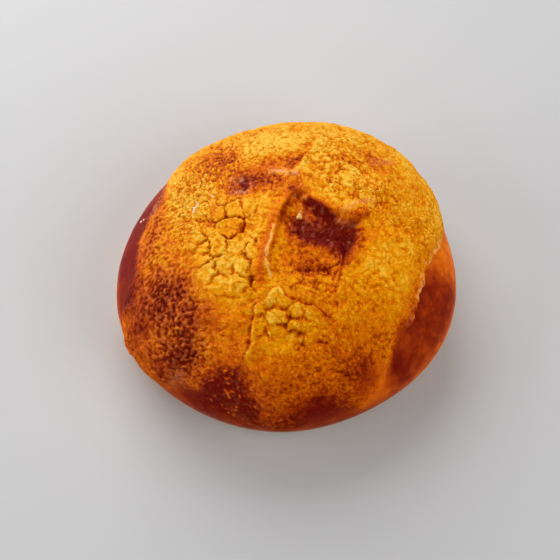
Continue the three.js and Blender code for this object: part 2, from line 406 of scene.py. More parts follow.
# How the crust is broken, smoothed and crumbled: widths and heights in millimetres, and shares
PLATE_GAPE = 0.37  # half width of a crack between plates
# The pale rim of a plate is a painted highlight
PLATE_RIM = 1.1  # from the crack to the pale rim of a plate
PLATE_RIM_WIDTH = 0.5
FLAKE_GAPE = 0.45  # half width of a crack between flakes
FLAKE_RELIEF = 0.8
FLAKE_GAPS = 0.9
LEAST_FLAKED = 0.16
PLATE_CALM = 0.25  # how far plates keep the smaller flakes off
KEPT_CRACKS = 0.85  # how far cracks run on before they break off
PIECE_LEVEL = 0.65  # how much higher or lower a piece lies, as a share of the crack's depth
PIECE_RUN = 1.5  # half widths of the crack over which a piece reaches its level
PIECE_CROWN = 0.18
PLATE_SLOPE = 0.15
LEVEL_SPREAD = 50  # sets the levels of neighbouring flakes apart
BAND_SMOOTHNESS = 0.4
WRINKLE_RISE = 0.7
CRUMB_LEVEL = 0.65
LEAST_TEXTURE = 0.32
PLATE_TEXTURE = 0.2
COARSE_TEXTURE = 1.15
MOST_TEXTURE = 1.4
SMOOTHED_TEXTURE = 0.8  # share of the crumb that is lost where the crust is smooth
SMOOTHED_PORES = 0.7  # share of the pores lost there
COARSE_PORES = 0.1
PORE_STRETCH = (0.8, 1, 1)
PORE_DEPTH = 0.8
BEAD_RISE = 0.9
STUCK_RISE = 1.2

# Tones from 0, pale, to 1, burnt, and how far the crust is blushed, speckled, porous and crackled. Some of
# these
# tones paint light and shade: darker gaps, cracks, pores and front, paler rims, crests and crumb tops, and
# glints
BASE_TONE = 0.12
DARKEST = 0.98
# Painted shade in gaps and cracks, and painted highlight on plate rims and fold crests
GAP_SHADE = 0.55
CRACK_SHADE = 0.3
RIM_HIGHLIGHT = 0.08
FOLD_HIGHLIGHT = 0.2
SHADE_AND_HIGHLIGHT_RANGE = (-0.25, 0.5)
# Darker pores are painted shade; paler crumb and bead tops are partly their own colour and partly painted
# highlight
PORE_SHADE = 0.13
CRUMB_PALING_AND_HIGHLIGHT = 0.33
BEAD_PALING_AND_HIGHLIGHT = 0.16
# Painted light that offsets the shade of the coarse crumbs
COARSE_LIGHT_OFFSET = 0.05
WRINKLE_PALING = 0.17
STUCK_PALING = 0.38
# Darker towards the front of the crust: partly browning, partly painted shade
FRONT_BROWNING_AND_SHADE = 0.31
FRONT_FOOT_BROWNING_AND_SHADE = 0.15
LIP_TONE = 0.15
# Darker towards the front of the skin and bulge: partly browning, partly painted shade
SKIN_FRONT_BROWNING_AND_SHADE = 0.1
BULGE_FRONT_BROWNING_AND_SHADE = 0.35
WAIST_PALING = 0.65
# Pale flakes on the crisp lip, partly dry and partly painted highlight, and painted glints in the pit and on
# the beads
FLAKE_BLUSH_AND_HIGHLIGHT = 0.65
WRINKLE_GLINT = 0.2
BEAD_GLINT = 0.12
DRY_SHARE = 0.6
FLAKED_LIP = 0.3
THIN_START, THIN_FALL = 1.1, 1.2  # where the skin shows through a soft lip that thins out
# The finest crumbs are paler on top and darker in their gaps: partly grain, partly painted light and shade
SWING, PITTED_SWING, COARSE_SWING = 0.16, 0.12, 0.05  # how far the finest crumbs change the tone
CALMED_SWING = 0.6
POROUS, COARSE_POROUS = 0.35, 0.25
LEAST_CRACKLE = 0.06

# Where something starts, and the run over which it becomes full
FRONT_RAMP = (2, 45)
FRONT_FOOT_RAMP = (48, 14)
SKIN_FRONT_RAMP = (25, 30)
BULGE_RAMP = (-4, 14)
WAIST_RAMP = (1, 8)
PORE_RAMP = (0.26, 0.14)
BEAD_PORE_RAMP = (0.02, 0.2)
BEAD_GLINT_RAMP = (0.1, 0.25)
WRINKLE_GLINT_RAMP = (0.42, 0.3)
STUCK_RAMP = (0.27, 0.25)
LIP_RAMP = (0.8, 0.14)
LIP_FLAKE_RAMP = (0.915, 0.04)

# Finest grain, crumbs, pores, flakes and cracks of the crust, in millimetres, and how far they show
FINE_GRAIN = 0.5
FINE_CRUMB = 1.3
FINE_PORE = 1.8
FINE_FLAKE = 3.0
FINE_CRACK = 0.32
CRACKED_PATCH = 4.0
CRUMB_BUMP = 4.5  # height of the finest crumbs for their change of tone
GRAIN_SHARE = -0.5
# The finest crumbs turn darker in their gaps and paler on top: partly grain, partly painted light and shade
SWING_SHARE = -0.5
# Share by which fine cracks and pores darken the tone: painted shade
FINE_CRACK_SHADE = 0.45

# Sugar grains: how ragged they are, how often they swell, and their shape
SUGAR_RAGS = 0.5
SUGAR_TURNS = 1.8
SUGAR_SHAPE = (0.7, 1, 0.5)


def from_srgb(*levels):
    """Linear colour of an sRGB colour given in levels of 255."""
    shares = [level / 255 for level in levels]
    return tuple(s / 12.92 if s <= 0.04045 else ((s + 0.055) / 1.055) ** 2.4 for s in shares)


def length(name, description, default):
    """A length property whose default is given in millimetres."""
    return FloatProperty(name=name, description=description, default=default * MM, unit="LENGTH", precision=5)


def colour(name, description, *levels):
    """A colour property whose default is given in sRGB levels of 255."""
    return FloatVectorProperty(
        name=name, description=description, default=from_srgb(*levels), subtype="COLOR", min=0, max=1
    )


def share(name, description, default):
    """A factor property from 0 to 1."""
    return FloatProperty(name=name, description=description, default=default, min=0, max=1, subtype="FACTOR")


def degrees(name, description, default):
    """An angle property whose default is given in degrees."""
    return FloatProperty(name=name, description=description, default=math.radians(default), subtype="ANGLE")


def watts(name, description, default):
    """A property for the power of a light."""
    return FloatProperty(name=name, description=description, default=default, unit="POWER")


class DoughSettings(bpy.types.PropertyGroup):
    """Sizes and baking of the dough body."""

    radius: length("Radius", "Mean radius at the widest level", 63)
    bulge_height: length("Bulge Height", "Level of the widest ring", 17)
    height: length("Height", "Top of the dough under the crust", DOUGH_HIGH.z / MM)
    foot_radius: length("Foot Radius", "Flat patch that the bun stands on", 50)
    skin_rise: length("Skin Rise", "Height of the low swellings in the skin", 0.35)
    skin_tone: share("Skin Tone", "How far the skin near the crust is baked", 0.82)
    bulge_tone: share("Bulge Tone", "How far the skin at the bulge is baked", 0.44)
    under_tone: share("Underside Tone", "How far the underside is baked", 0.8)


class CrustSettings(bpy.types.PropertyGroup):
    """Sizes of the sponge crust."""

    thickness: length("Thickness", "Thickness at the crown", 4)
    edge_thickness: length("Edge Thickness", "Thickness just inside the lip", 2)
    sink: length("Sink", "How far the lip sinks into the dough", 0.5)
    reach: degrees("Reach", "Tilt of the lip from the crown", 84)
    crumb_size: length("Crumb Size", "Distance between crumbs", 1.5)
    crumb_rise: length("Crumb Rise", "Height of a crumb", 0.4)
    plate_depth: length("Plate Depth", "Depth of the cracks between plates", 1.0)
    flake_size: length("Flake Size", "Size of the smaller flakes", 3.2)
    flake_depth: length("Flake Depth", "Depth of the cracks between flakes", 0.7)


class BakedColours(bpy.types.PropertyGroup):
    """Colours that dough and crust go through as they bake."""

    pale: colour("Pale", "Least baked", 250, 200, 74)
    gold: colour("Gold", "Evenly baked", 238, 156, 4)
    orange: colour("Orange", "Well baked", 219, 104, 0)
    rust: colour("Rust", "Browned", 170, 62, 2)
    brown: colour("Brown", "Dark", 132, 36, 4)
    burnt: colour("Burnt", "Darkest", 106, 13, 2)
    # Colour laid on dry edges and on painted glints and highlights
    blush: colour("Blush", "Dry edges", 244, 166, 112)
    waist: colour("Waist", "Pale sides under the bulge", 236, 186, 118)


class StageSettings(bpy.types.PropertyGroup):
    """Camera, floor and lights."""

    elevation: degrees("Elevation", "Camera's tilt", 66.4)
    distance: length("Distance", "From the camera to the bun's middle", 537)
    aside: length("Aside", "How far right of the picture's middle the bun stands", 2.5)
    above: length("Above", "How far above the picture's middle the bun stands", 1.8)
    lens: FloatProperty(name="Lens", description="Focal length in millimetres", default=90)
    floor_colour: colour("Floor", "Plain pale floor", 184, 183, 183)
    key_power: watts("Key Power", "Window light from the back", 11.4)
    fill_power: watts("Fill Power", "Light from the front right", 10)
    left_power: watts("Left Power", "Low light from the left", 5.5)
    glare_power: watts("Glare Power", "Glare of the window at the back", 28)
    side_power: watts("Side Power", "Low glare on the left", 5.5)
    right_power: watts("Right Power", "Low glare on the right", 2)
    sky_strength: FloatProperty(name="Sky Strength", description="Brightness of the even light", default=0.2)


class Dome:
    """The dough's surface in millimetres, round the middle of its outline waves."""

    def __init__(self, dough):
        self.radius = dough.radius / MM
        self.bulge = dough.bulge_height / MM
        self.rise = (dough.height - dough.bulge_height) / MM
        self.foot = dough.foot_radius / MM

    def outline(self, angle):
        """Radius of the widest ring in each direction."""
        return self.radius + waves(OUTLINE_WAVES, angle)

    def points(self, angle, tilt, lift):
        """Points tilted down from the crown and lifted square off the dome."""
        radius = self.outline(angle)
        run, climb = self.rise * np.sin(tilt), radius * np.cos(tilt)
        scale = lift / np.hypot(run, climb)
        reach = radius * np.sin(tilt) + run * scale
        height = self.bulge + self.rise * np.cos(tilt) + climb * scale
        return np.column_stack((reach * np.cos(angle), reach * np.sin(angle), height))

    def lower_points(self, angle, fall):
        """Points below the widest ring. Fall runs from 0 there to 1 under the middle."""
        turn = np.clip(fall / FOOT_FALL, 0, 1) * math.pi / 2
        inward = np.clip((fall - FOOT_FALL) / (1 - FOOT_FALL), 0, 1)
        side = self.foot + (self.radius - self.foot) * np.cos(turn)
        reach = np.where(inward > 0, self.foot * (1 - inward), side) * self.outline(angle) / self.radius
        height = self.bulge * (1 - np.sin(turn))
        return np.column_stack((reach * np.cos(angle), reach * np.sin(angle), height))

    def shift(self):
        """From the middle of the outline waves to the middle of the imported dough."""
        angle = np.radians(np.arange(360))
        ring = self.points(angle, np.full_like(angle, math.pi / 2), 0)
        packed = (DOUGH_LOW + DOUGH_HIGH) / 2 / MM
        middle = (ring.min(axis=0) + ring.max(axis=0)) / 2
        return np.array((packed.x - middle[0], packed.y - middle[1], 0))


def waves(chosen, angle):
    """Sum of waves round the bun."""
    return sum(w.swell * np.cos(w.lobes * (angle - math.radians(w.crest))) for w in chosen)


def nearness(angle, side):
    """1 in the middle of a stretch round the bun, falling to 0 past its half width."""
    away = np.arccos(np.cos(angle - math.radians(side.toward))) / math.radians(side.half_width)
    return np.exp(-(away**4))


def spots(chosen, plan, power=2):
    """Sum of soft oval patches at plan places. A higher power gives a flatter middle."""
    total = np.zeros(len(plan))
    for spot in chosen:
        turn = math.radians(spot.turn)
        away = plan - (spot.x, spot.y)
        along = away @ (math.cos(turn), math.sin(turn)) / spot.length
        across = away @ (-math.sin(turn), math.cos(turn)) / spot.width
        total += spot.amount * np.exp(-(np.hypot(along, across) ** power))
    return total


def from_stretch(start, end, plan):
    """A stretch's run, and the ways to plan places from its start and from its nearest point."""
    run, away = np.subtract(end, start), plan - start
    along = np.clip(away @ run / (run @ run), 0, 1)
    return run, away, away - along[:, None] * run


def route_rise(route, plan):
    """Rise or tone of a fold, crack or streak at plan places."""
    nearest = np.full(len(plan), np.inf)
    for start, end in zip(route.points, route.points[1:]):
        way = from_stretch(start, end, plan)[2]
        nearest = np.minimum(nearest, np.linalg.norm(way, axis=1))
    return route.rise * np.exp(-((nearest / route.half_width) ** 2))


def ledge_rise(ledge, plan):
    """Rise of a ledge, slow on its left and sudden on its right, and the painted shade along its foot there.
    """
    nearest = np.full(len(plan), np.inf)
    side = np.zeros(len(plan))
    for start, end in zip(ledge.points, ledge.points[1:]):
        run, _, way = from_stretch(start, end, plan)
        distance = np.linalg.norm(way, axis=1)
        closer = distance < nearest
        nearest = np.where(closer, distance, nearest)
        side = np.where(closer, run[0] * way[:, 1] - run[1] * way[:, 0], side)
    gentle = np.exp(-nearest / ledge.back_width)
    sudden = np.exp(-((nearest / ledge.drop_width) ** 2))
    ends = [np.linalg.norm(plan - end, axis=1) for end in (ledge.points[0], ledge.points[-1])]
    fade = smooth_step(np.min(ends, axis=0) / LEDGE_FADE)
    foot = np.exp(-(((nearest - ledge.drop_width) / FOOT_WIDTH) ** 2)) * (side <= 0)
    return ledge.rise * np.where(side > 0, gentle, sudden) * fade, ledge.foot_tone * foot * fade


def region_share(region, plan):
    """1 well inside a closed outline at plan places, falling to 0 over its soft edge."""
    nearest = np.full(len(plan), np.inf)
    inside = np.zeros(len(plan), bool)
    for start, end in zip(region.points, region.points[1:] + region.points[:1]):
        run, away, way = from_stretch(start, end, plan)
        nearest = np.minimum(nearest, np.linalg.norm(way, axis=1))
        crosses = (start[1] > plan[:, 1]) != (end[1] > plan[:, 1])
        side = (run[0] * away[:, 1] - run[1] * away[:, 0]) * np.sign(run[1])
        inside ^= crosses & (side > 0)
    return smooth_step(0.5 + np.where(inside, nearest, -nearest) / region.soft_edge)


def seeded(points, size, seed):
    """Noise places of millimetre points for bumps of a size. Each seed gives another pattern."""
    shift = SEED_SHIFT * seed
    return [Vector(point) / size + shift for point in points]


def patterned(patterns, points):
    """Sum of soft patterns, each from about minus to plus its amount."""
    total = np.zeros(len(points))
    for pattern in patterns:
        places = seeded(points, pattern.size, pattern.seed)
        total += pattern.amount * np.array([noise.noise(place) for place in places])
    return total


def wander(points, pushes):
    """Points pushed about by soft noise, alike in each build."""
    for push in pushes:
        noise.seed_set(push.seed)
        moves = [noise.noise_vector(place) for place in seeded(points, push.size, push.seed)]
        points = points + push.reach * np.array(moves)
    return points


def smooth_step(value):
    """Smooth rise from 0 to 1."""
    value = np.clip(value, 0, 1)
    return value * value * (3 - 2 * value)


def ramp(value, start, run):
    """Smooth rise from 0 at a start to 1 after a run."""
    return smooth_step((value - start) / run)


def directions(bm):
    """Polar angle and direction round Z of a ball's vertices."""
    ball = np.array([vertex.co for vertex in bm.verts])
    ball /= np.linalg.norm(ball, axis=1)[:, None]
    return np.arccos(np.clip(ball[:, 2], -1, 1)), np.arctan2(ball[:, 1], ball[:, 0])


def place(bm, points):
    """Moves the vertices to millimetre points."""
    for vertex, point in zip(bm.verts, points * MM):
        vertex.co = point


def add_piece(context, name, bm, material, attributes):
    """Links a finished bmesh as a smooth piece of the bun, with attributes of a number per vertex."""
    mesh = bpy.data.meshes.new(name)
    bm.to_mesh(mesh)
    bm.free()
    mesh.shade_smooth()
    for label, values in attributes.items():
        layer = mesh.attributes.new(label, "FLOAT", "POINT")
        layer.data.foreach_set("value", np.asarray(values, np.float32))
    mesh.materials.append(material)
    piece = bpy.data.objects.new(name, mesh)
    context.scene.collection.objects.link(piece)
    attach(piece, "root")
    return piece


def add_node(tree, kind, inputs=None, **settings):
    """Adds a node with settings and input values."""
    node = tree.nodes.new(kind)
    for name, value in settings.items():
        setattr(node, name, value)
    for name, value in (inputs or {}).items():
        node.inputs[name].default_value = value
    return node


def new_material(name):
    """A node material and its shader."""
    material = bpy.data.materials.new(name)
    material.use_nodes = True
    return material, material.node_tree, material.node_tree.nodes["Principled BSDF"]


def add_ramp(tree, stops):
    """A colour ramp from (place, colour) stops."""
    shades = add_node(tree, "ShaderNodeValToRGB")
    points = shades.color_ramp.elements
    for index, (place_on_ramp, shade) in enumerate(stops):
        point = points[index] if index < 2 else points.new(place_on_ramp)
        point.position = place_on_ramp
        point.color = (*shade, 1)
    return shades


def add_grain(tree, size, detail=3):
    """Noise texture on Object coordinates, with grains of a size in millimetres."""
    coordinates = add_node(tree, "ShaderNodeTexCoord")
    look = {"Scale": 1 / (size * MM), "Detail": detail, "Roughness": 0.6}
    grain = add_node(tree, "ShaderNodeTexNoise", look)
    tree.links.new(coordinates.outputs["Object"], grain.inputs["Vector"])
    return grain.outputs["Fac"]


def add_cells(tree, size, push, feature):
    """Distance in ragged cells of a size in millimetres on Object coordinates, as a share of that size."""
    coordinates = add_node(tree, "ShaderNodeTexCoord")
    pushing = add_node(tree, "ShaderNodeTexNoise", {"Scale": 1 / (0.6 * size * MM), "Detail": 2})
    ragged = add_node(tree, "ShaderNodeVectorMath", operation="MULTIPLY_ADD")
    ragged.inputs[1].default_value = Vector((1, 1, 1)) * push * size * MM
    cells = add_node(tree, "ShaderNodeTexVoronoi", {"Scale": 1 / (size * MM)}, feature=feature)
    tree.links.new(coordinates.outputs["Object"], pushing.inputs["Vector"])
    tree.links.new(pushing.outputs["Color"], ragged.inputs[0])
    tree.links.new(coordinates.outputs["Object"], ragged.inputs[2])
    tree.links.new(ragged.outputs["Vector"], cells.inputs["Vector"])
    return cells.outputs["Distance"]


def add_crackle(tree, size, width):
    """1 in fine ragged cracks between flakes of a size, 0 on the flakes, in millimetres."""
    return add_range(tree, add_cells(tree, size, push=1.3, feature="DISTANCE_TO_EDGE"), 0, width / size, 1, 0)


def add_crumbs(tree, size):
    """Crumbs of a size in millimetres: a little above 0 on their flat tops, -1 in the gaps."""
    return add_range(tree, add_cells(tree, size, push=1.2, feature="F1"), 0.4, 0.75, 0.4, -1)


def add_pores(tree, size):
    """1 in small ragged pores about a size apart in millimetres, 0 between them."""
    return add_range(tree, add_cells(tree, size, push=1.1, feature="F1"), 0.12, 0.28, 1, 0)


def add_math(tree, operation, *values):
    """An operation on two or three values, each a number or a socket."""
    node = add_node(tree, "ShaderNodeMath", operation=operation)
    for value, socket in zip(values, node.inputs):
        if isinstance(value, (int, float)):
            socket.default_value = value
        else:
            tree.links.new(value, socket)
    return node.outputs["Value"]


def add_bump(tree, shader, height, depth, strength):
    """Bump from a height on a shader, with a depth in millimetres."""
    bump = add_node(tree, "ShaderNodeBump", {"Strength": strength, "Distance": depth * MM})
    tree.links.new(height, bump.inputs["Height"])
    tree.links.new(bump.outputs["Normal"], shader.inputs["Normal"])


def add_attribute(tree, name):
    """Reads a number per vertex."""
    return add_node(tree, "ShaderNodeAttribute", attribute_name=name).outputs["Fac"]


def add_range(tree, value, low, high, start, end):
    """Maps a value from low..high to start..end."""
    mapped = add_node(
        tree, "ShaderNodeMapRange", {"From Min": low, "From Max": high, "To Min": start, "To Max": end}
    )
    tree.links.new(value, mapped.inputs["Value"])
    return mapped.outputs["Result"]


def add_speckle(tree, size, start, end):
    """Values from start to end, speckled with grains of a size in millimetres."""
    return add_range(tree, add_grain(tree, size), 0.3, 0.7, start, end)


def add_mix(tree, factor, under, over):
    """A colour socket with a plain colour laid over it by a factor."""
    mix = add_node(tree, "ShaderNodeMix", data_type="RGBA")
    first, second = [socket for socket in mix.inputs if socket.type == "RGBA"]
    second.default_value = (*over, 1)
    tree.links.new(under, first)
    tree.links.new(factor, mix.inputs["Factor"])
    return next(socket for socket in mix.outputs if socket.type == "RGBA")


def add_baked_colour(tree, colours, tone):
    """Colour by how far the surface is baked."""
    stops = (
        (0.0, colours.pale),
        (0.25, colours.gold),
        (0.5, colours.orange),
        (0.7, colours.rust),
        (0.85, colours.brown),
        (1.0, colours.burnt),
    )
    shades = add_ramp(tree, stops)
    tree.links.new(tone, shades.inputs["Fac"])
    return shades.outputs["Color"]


def dough_skin(colours):
    """Smooth baked skin, softly glossy and finely mottled, paler round the waist."""
    material, tree, shader = new_material("baked_dough_skin")
    mottle = add_speckle(tree, 4.0, -0.1, 0.1)
    baked = add_baked_colour(tree, colours, add_math(tree, "ADD", add_attribute(tree, "tone"), mottle))
    patchy = add_speckle(tree, 7.0, 0.6, 1.2)
    waist = add_math(tree, "MULTIPLY", add_attribute(tree, "waist"), patchy)
    paled = add_mix(tree, waist, baked, colours.waist)
    tree.links.new(paled, shader.inputs["Base Color"])
    shader.inputs["Specular IOR Level"].default_value = 0.03
    tree.links.new(add_speckle(tree, 2.5, 0.36, 0.5), shader.inputs["Roughness"])
    add_bump(tree, shader, add_grain(tree, 0.6), depth=0.12, strength=0.12)
    return material


def crust_sponge(colours):
    """Dry crumbly sponge with fine cracks, glazed where sugar has melted; its tone carries painted shade in
    cracks and pores, and painted glints.
    """
    material, tree, shader = new_material("crumbly_sponge")
    grain = add_range(tree, add_grain(tree, FINE_GRAIN), 0.32, 0.68, -1, 1)
    pitted = add_range(tree, add_attribute(tree, "pitted"), 0, 1, 1, -1)
    crumb = add_math(tree, "MULTIPLY", add_crumbs(tree, FINE_CRUMB), pitted)
    rough = add_math(tree, "MULTIPLY_ADD", grain, GRAIN_SHARE, crumb)
    kept = add_range(tree, add_grain(tree, CRACKED_PATCH), 0.4, 0.55, 0.2, 1)
    crackle = add_math(tree, "MULTIPLY", add_attribute(tree, "crackle"), kept)
    pore = add_math(tree, "MULTIPLY", add_pores(tree, FINE_PORE), add_attribute(tree, "porous"))
    # Fine cracks and pores darken the tone: painted shade
    crack = add_math(tree, "MULTIPLY_ADD", add_crackle(tree, FINE_FLAKE, FINE_CRACK), crackle, pore)
    swing = add_math(tree, "MULTIPLY", rough, add_attribute(tree, "swing"))
    # Crumbs paler on top and darker in their gaps: partly grain, partly painted light and shade
    mottled = add_math(tree, "MULTIPLY_ADD", swing, SWING_SHARE, add_attribute(tree, "tone"))
    tone = add_math(tree, "MULTIPLY_ADD", crack, FINE_CRACK_SHADE, mottled)
    baked = add_baked_colour(tree, colours, tone)
    # Blush colour over dry edges and over painted glints and highlights
    blushed = add_mix(tree, add_attribute(tree, "blush"), baked, colours.blush)
    tree.links.new(blushed, shader.inputs["Base Color"])
    shader.inputs["Specular IOR Level"].default_value = 0.035
    shader.inputs["Coat Roughness"].default_value = 0.3
    gloss = add_attribute(tree, "gloss")
    tree.links.new(add_range(tree, gloss, 0, 1, 0, 0.08), shader.inputs["Coat Weight"])
    tree.links.new(add_range(tree, gloss, 0, 1, 0.62, 0.42), shader.inputs["Roughness"])
    height = add_math(tree, "SUBTRACT", add_math(tree, "MULTIPLY", swing, CRUMB_BUMP), crack)
    add_bump(tree, shader, height, depth=0.4, strength=0.8)
    return material


def sugar_glass():
    """Coarse sugar, white where dry and caramel where melted."""
    material, tree, shader = new_material("melted_sugar")
    speckle = add_speckle(tree, 0.5, -0.15, 0.15)
    melt = add_math(tree, "ADD", add_attribute(tree, "melt"), speckle)
    dry, golden, caramel = from_srgb(250, 236, 214), from_srgb(226, 168, 96), from_srgb(150, 66, 20)
    shades = add_ramp(tree, ((0.0, dry), (0.5, golden), (1.0, caramel)))
    tree.links.new(melt, shades.inputs["Fac"])
    tree.links.new(shades.outputs["Color"], shader.inputs["Base Color"])
    shader.inputs["Specular IOR Level"].default_value = 0.2
    tree.links.new(add_speckle(tree, 0.3, 0.25, 0.45), shader.inputs["Roughness"])
    add_bump(tree, shader, add_grain(tree, 0.3), depth=0.1, strength=0.4)
    return material


def lip_tilt(crust, angle):
    """Tilt of the crust's lip in each direction."""
    lift = sum(side.lift * nearness(angle, side) for side in BARE_SIDES)
    hidden = HIDDEN_LIP * (1 - nearness(angle, OPEN_SIDE))
    return crust.reach + np.radians(waves(LIP_WAVES, angle) - lift + hidden)


def lip_body(angle, along):
    """Share of the full thickness near the lip: a thin edge where it is soft, a low step where crisp."""
    crispness = nearness(angle, CRISP_SIDE)
    soft = smooth_step((1 - along) / SOFT_TAPER)
    thinned = CRISP_STEP + (1 - CRISP_STEP) * smooth_step((1 - along) / CRISP_THINNING)
    crisp = thinned * np.sqrt(np.clip((1 - along) / CRISP_TAPER, 0, 1))
    return soft + (crisp - soft) * crispness


def broken_flakes(places, size):
    """Flakes of broken crust: distance to the nearest border, and a level from -1 to 1 for each flake."""
    pushes = (
        Push(size, 0.3 * size, FLAKE_SEED),
        Push(0.3 * size, 0.1 * size, FLAKE_SEED + 1),
        Push(1.1, 0.25, FLAKE_SEED + 5),
    )
    borders, levels = [], []
    for spot in seeded(wander(places, pushes), size, FLAKE_SEED + 2):
        nearest, second = noise.voronoi(spot)[1][:2]
        across = second - nearest
        borders.append(((nearest + second) / 2 - spot).dot(across) / across.length * size)
        levels.append(noise.cell(LEVEL_SPREAD * nearest))
    return np.array(borders), np.array(levels)


def broken_plates(places):
    """Plates round their chosen middles: distance to the nearest border, and a level from about -1 to 1."""
    ragged = wander(places, PLATE_PUSHES)[:, :2] - PLAN_MIDDLE
    middles = np.array(PLATE_MIDDLES)
    away = np.linalg.norm(ragged[:, None] - middles, axis=2)
    nearest, second = np.argsort(away, axis=1)[:, :2].T
    reach = np.take_along_axis(away, np.column_stack((nearest, second)), axis=1)
    gap = np.linalg.norm(middles[nearest] - middles[second], axis=1)
    chance = np.random.default_rng(PLATE_SEED)
    level = chance.uniform(-1, 1, len(middles))
    slope = chance.uniform(-PLATE_SLOPE, PLATE_SLOPE, middles.shape)
    tilt = np.sum((ragged - middles[nearest]) * slope[nearest], axis=1)
    return (reach[:, 1] ** 2 - reach[:, 0] ** 2) / (2 * gap), level[nearest] + tilt


def broken_relief(border, level, depth, width, kept):
    """Height of broken crust, some pieces higher than others, and 1 in the cracks between them."""
    crack = kept * np.exp(-((border / width) ** 2))
    crown = PIECE_CROWN * depth * smooth_step(border / PLATE_RIM) * kept
    flat = PIECE_LEVEL * depth * level * smooth_step(border / width / PIECE_RUN)
    return flat + crown - depth * crack, crack


def crumbs(places, size):
    """Rounded crumbs: height from 0 in the gaps between them to 1."""
    pushed = wander(places, (Push(1.5 * size, 0.35 * size, CRUMB_SEED),))
    shares = []
    for spot in seeded(pushed, size, CRUMB_SEED + 1):
        nearest, second = noise.voronoi(spot)[0][:2]
        shares.append(nearest / second)
    return 1 - np.array(shares) ** 3


def skin_tone(dough, places):
    """How far the bare skin is baked at points on the bun, darker towards the front partly from painted
    shade.
    """
    angle = np.arctan2(places[:, 1], places[:, 0])
    # Darker towards the front: partly browning, partly painted shade
    front = ramp(-places[:, 1], *SKIN_FRONT_RAMP)
    sides = sum(side.change * nearness(angle, side) for side in SKIN_SIDES)
    tone = dough.skin_tone + SKIN_FRONT_BROWNING_AND_SHADE * front + sides
    bulge = dough.bulge_tone + BULGE_FRONT_BROWNING_AND_SHADE * front
    raised = ramp(places[:, 2] - dough.bulge_height / MM, *BULGE_RAMP)
    return bulge + (tone - bulge) * raised + patterned(SKIN_MOTTLE, places)


